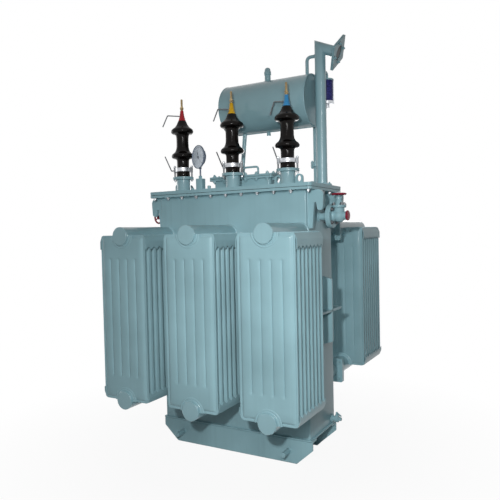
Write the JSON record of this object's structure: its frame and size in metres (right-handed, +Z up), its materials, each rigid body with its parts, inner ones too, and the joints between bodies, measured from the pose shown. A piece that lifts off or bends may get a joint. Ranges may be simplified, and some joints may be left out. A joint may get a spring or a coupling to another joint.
{
  "type": "oil-filled power transformer",
  "caption": "Oil-filled power transformer on skids: welded tank, fluted pressed-steel radiators, brown porcelain bushings, conservator drum, explosion vent and valves.",
  "frame": {"origin": "Middle of the hold-down bolt pattern, on the ground under the middle of the tank.", "axes": "+Z up and along the longest extent; +X along the tank to the end with the explosion vent and filter valve; -Y the high-voltage side with three radiators; row_axis is +Z."},
  "size_m": [1.253, 1.619, 2.3668],
  "materials": {
    "paint": "semi-gloss grey-green enamel over welded steel",
    "porcelain": "dark brown glazed porcelain",
    "zinc": "zinc-plated steel",
    "brass": "bare terminal stem",
    "phase_red": "red phase marking",
    "phase_yellow": "yellow phase marking",
    "phase_blue": "blue phase marking",
    "dial": "pale dial face",
    "diaphragm": "dark burst diaphragm",
    "jar": "jar of blue drying crystals",
    "red_paint": "dark red gloss paint"
  },
  "bodies": {
    "root": {"tank_shell": "paint", "tank_rim": "paint", "cover_plate": "paint", "skid_front": "paint", "skid_rear": "paint", "lifting_lugs": "paint", "end_stiffeners": "paint", "rear_stubs": "paint", "front_headers": "paint", "rear_headers": "paint", "fins_front_left": "paint", "fins_front_middle": "paint", "fins_front_right": "paint", "fins_rear_left": "paint", "fins_rear_right": "paint", "bushing_turrets": "paint", "clamp_rings": "zinc", "porcelain_red": "porcelain", "porcelain_yellow": "porcelain", "porcelain_blue": "porcelain", "stem_red": "brass", "stem_yellow": "brass", "stem_blue": "brass", "cone_red": "phase_red", "cone_yellow": "phase_yellow", "cone_blue": "phase_blue", "inspection_neck": "paint", "inspection_cover": "paint", "thermometer": "zinc", "thermometer_face": "dial", "conservator_shell": "paint", "conservator_legs": "paint", "conservator_end_left": "paint", "conservator_end_right": "paint", "conservator_feed": "paint", "vent_pipe": "paint", "vent_outlet": "paint", "vent_flange": "paint", "vent_diaphragm": "diaphragm", "equaliser_pipe": "paint", "breather_pipe": "paint", "breather_jar": "jar", "breather_cup": "zinc", "filter_valve": "paint", "filter_valve_cap": "red_paint", "side_valve": "paint", "drain_valve": "paint", "cable_box": "paint", "cable_box_cover": "paint"},
    "filter_wheel": {"filter_valve_wheel": "red_paint"},
    "side_wheel": {"side_valve_wheel": "red_paint"}
  },
  "joints": [
    {"name": "filter_valve_spindle", "type": "hinge", "parent": "root", "child": "filter_wheel", "pos_m": [0.597, 0, 1.464], "axis": [0, 0, 1], "range_deg": [0, 900]},
    {"name": "side_valve_spindle", "type": "hinge", "parent": "root", "child": "side_wheel", "pos_m": [-0.576, -0.085, 1.373], "axis": [-1, 0, 0], "range_deg": [0, 900]}
  ]
}
